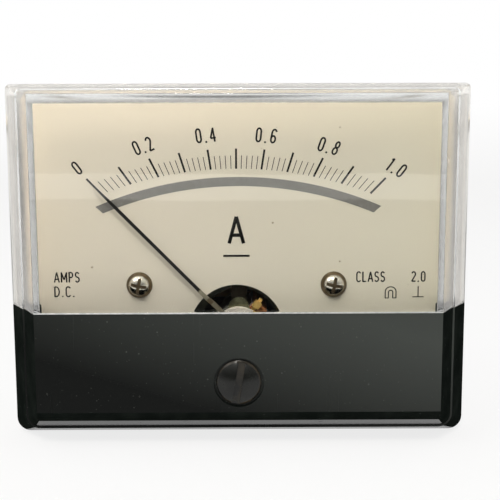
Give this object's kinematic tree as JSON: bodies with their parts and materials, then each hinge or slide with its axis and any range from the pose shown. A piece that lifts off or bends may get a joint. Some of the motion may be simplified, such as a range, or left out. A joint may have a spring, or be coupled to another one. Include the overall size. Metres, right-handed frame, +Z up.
{
  "type": "analog panel meter",
  "caption": "Moving-coil ammeter for a panel cut-out: clear window over a black lower cover, swinging pointer, dial with a linear scale, front zero adjuster, rear barrel and terminals.",
  "frame": {"origin": "middle of the mounting plane, where the rear rim of the cover meets the panel", "axes": "+X to the right and +Z up as the dial is read, +Y back into the panel, so the dial faces -Y"},
  "size_m": [0.086, 0.0499, 0.066],
  "materials": {
    "clear_acrylic": "clear moulded acrylic, polished, lightly scuffed",
    "black_plastic": "black moulded plastic, glossy with fine dust and scuffs",
    "base_plastic": "black phenolic moulding, satin",
    "dial_white": "printed aluminium, warm off-white enamel",
    "nickel": "nickel-plated steel",
    "zinc_steel": "zinc-plated steel",
    "brass": "turned brass",
    "gilt_brass": "gilt brass",
    "bronze_spring": "phosphor bronze strip",
    "bridge_alloy": "olive-grey cast alloy",
    "lever_alloy": "bright stamped metal",
    "pointer_paint": "aluminium, painted black beyond the root",
    "coil_aluminium": "plain aluminium strip",
    "copper_wire": "enamelled copper wire",
    "soft_iron": "soft iron, dull grey",
    "magnet_alloy": "cast magnet alloy, dark grey",
    "manganin": "manganin strip",
    "red_wire": "red insulated wire",
    "black_wire": "black insulated wire"
  },
  "bodies": {
    "case": {"window_cover": "clear_acrylic", "lower_cover": "black_plastic", "base": "base_plastic", "mounting_studs": "nickel", "cover_screws": "zinc_steel", "dial_plate": "dial_white", "dial_screws": "nickel", "dial_pillars": "brass", "front_bridge": "bridge_alloy", "bridge_screws": "nickel", "front_jewel_screw": "brass", "front_lock_nut": "brass", "stop_pins": "zinc_steel", "rear_hairspring": "bronze_spring", "rear_spring_arm": "bronze_spring", "rear_bridge": "bridge_alloy", "rear_bridge_screws": "nickel", "rear_jewel_screw": "brass", "rear_lock_nut": "brass", "core": "soft_iron", "core_holder": "brass", "left_pole_piece": "soft_iron", "right_pole_piece": "soft_iron", "magnet": "magnet_alloy", "movement_screws": "zinc_steel", "terminal_studs": "brass", "terminal_tags": "nickel", "shunt_strip": "manganin", "terminal_washers": "nickel", "terminal_nuts": "brass", "front_lead": "red_wire", "rear_lead": "black_wire"},
    "zero_adjuster": {"zero_screw": "black_plastic", "zero_screw_clip": "zinc_steel"},
    "zero_arm": {"zero_lever": "lever_alloy", "front_hairspring": "bronze_spring"},
    "movement": {"pointer": "pointer_paint", "balance_arms": "gilt_brass", "balance_weights": "gilt_brass", "front_staff": "zinc_steel", "coil_former": "coil_aluminium", "coil_winding": "copper_wire", "rear_staff": "zinc_steel"}
  },
  "joints": [
    {"name": "zero_screw_turn", "type": "hinge", "parent": "case", "child": "zero_adjuster", "pos_m": [0, -0.012, -0.0207], "axis": [0, 1, 0], "range_deg": [-40, 40]},
    {"name": "zero_lever_swing", "type": "hinge", "parent": "case", "child": "zero_arm", "pos_m": [0, -0.0083, -0.0123], "axis": [0, 1, 0], "range_deg": [-7, 7]},
    {"name": "pointer_swing", "type": "hinge", "parent": "zero_arm", "child": "movement", "pos_m": [0, 0.0025, -0.0123], "axis": [0, 1, 0], "range_deg": [-2, 91], "stiffness_Nm_per_rad": 0.00003, "deforming": ["front_hairspring", "rear_hairspring"]}
  ],
  "couplings": [
    {"joint": "zero_lever_swing", "follows": "zero_screw_turn", "ratio": -0.155}
  ]
}
